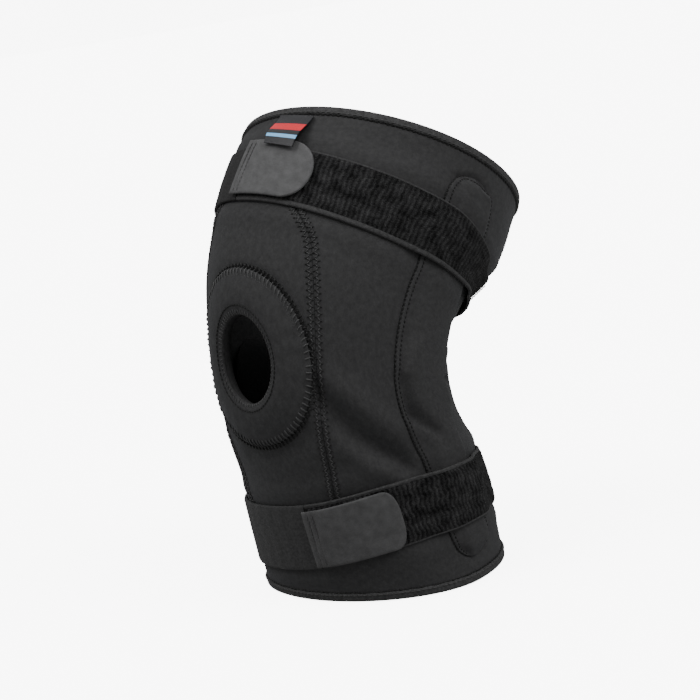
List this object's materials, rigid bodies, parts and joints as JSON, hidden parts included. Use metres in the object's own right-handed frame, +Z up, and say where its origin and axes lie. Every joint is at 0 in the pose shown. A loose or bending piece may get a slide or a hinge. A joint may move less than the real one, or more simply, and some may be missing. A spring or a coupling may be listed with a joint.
{
  "type": "hinged knee brace",
  "caption": "Bent neoprene knee sleeve with an open padded kneecap ring, a steel hinge in a pocket on each side, and a hook-and-loop strap above and below the knee.",
  "frame": {"origin": "centre of the lower rim, in the plane of its edge, on which the brace stands", "axes": "+Z up along the calf, -Y the front of the leg (kneecap side), +X the lateral side with the straps' tab ends pointing to it; the thigh leans back towards +Y"},
  "size_m": [0.1732, 0.2205, 0.2813],
  "materials": {
    "neoprene": "nylon-faced neoprene, matt dark grey",
    "ring_pad": "padded neoprene, matt dark grey",
    "condyle_foam": "foam under black jersey",
    "pocket_cover": "thin nylon-faced neoprene",
    "binding": "woven edge tape",
    "elastic": "smooth woven elastic, mid grey",
    "loop_band": "ribbed brushed loop pile, black",
    "tab": "backing cloth of the hook tab, grey",
    "hooks": "nylon hook facing",
    "bar_cap": "dipped soft vinyl",
    "steel": "brushed stainless steel",
    "rivet": "bright steel",
    "washer": "natural nylon",
    "label": "folded black satin tape with two plain stripes"
  },
  "bodies": {
    "calf": {"front_panel_calf": "neoprene", "lateral_panel_calf": "neoprene", "back_panel_calf": "neoprene", "medial_panel_calf": "neoprene", "bottom_binding": "binding", "calf_strap_elastic": "elastic", "calf_strap_loop_band": "loop_band", "lower_bar_lateral": "steel", "lower_bar_cap_lateral": "bar_cap", "pivot_rivet_lateral": "rivet", "pivot_washer_lateral": "washer", "lower_bar_medial": "steel", "lower_bar_cap_medial": "bar_cap", "pivot_rivet_medial": "rivet", "pivot_washer_medial": "washer"},
    "thigh": {"front_panel_thigh": "neoprene", "lateral_panel_thigh": "neoprene", "back_panel_thigh": "neoprene", "medial_panel_thigh": "neoprene", "top_binding": "binding", "thigh_strap_elastic": "elastic", "thigh_strap_loop_band": "loop_band", "upper_bar_lateral": "steel", "upper_bar_cap_lateral": "bar_cap", "stop_pin_lateral": "rivet", "upper_bar_medial": "steel", "upper_bar_cap_medial": "bar_cap", "stop_pin_medial": "rivet"},
    "knee_mid": {"front_panel_knee": "neoprene", "lateral_panel_knee": "neoprene", "back_panel_knee": "neoprene", "medial_panel_knee": "neoprene", "patella_pad": "ring_pad", "patella_binding": "binding", "condyle_pad_lateral": "condyle_foam", "condyle_pad_medial": "condyle_foam", "hinge_pocket_lateral": "pocket_cover", "hinge_pocket_medial": "pocket_cover"},
    "thigh_tab": {"thigh_strap_tab": "tab", "thigh_strap_hooks": "hooks"},
    "calf_tab": {"calf_strap_tab": "tab", "calf_strap_hooks": "hooks"},
    "label": {"side_label": "label"}
  },
  "joints": [
    {"name": "knee_flex", "type": "hinge", "parent": "calf", "child": "thigh", "pos_m": [0, -0.027, 0.124], "axis": [-1, 0, 0], "range_deg": [-43.5, 40], "stiffness_Nm_per_rad": 2, "deforming": ["front_panel_knee", "lateral_panel_knee", "back_panel_knee", "medial_panel_knee", "hinge_pocket_lateral", "hinge_pocket_medial"]},
    {"name": "knee_mid", "type": "hinge", "parent": "calf", "child": "knee_mid", "pos_m": [0, -0.027, 0.124], "axis": [-1, 0, 0], "range_deg": [-22, 20.5]},
    {"name": "thigh_tab_peel", "type": "hinge", "parent": "thigh", "child": "thigh_tab", "pos_m": [-0.02535, -0.0481, 0.25318], "axis": [0.021, -0.6689, -0.7431], "range_deg": [0, 90]},
    {"name": "calf_tab_peel", "type": "hinge", "parent": "calf", "child": "calf_tab", "pos_m": [0.00334, -0.07677, 0.03968], "axis": [0.003, 0.1955, -0.9807], "range_deg": [0, 90]},
    {"name": "label_flap", "type": "hinge", "parent": "thigh", "child": "label", "pos_m": [0.00846, -0.02655, 0.27728], "axis": [-0.9937, -0.0938, 0.0609], "range_deg": [0, 90]}
  ],
  "couplings": [
    {"joint": "knee_mid", "follows": "knee_flex", "ratio": 0.5}
  ]
}
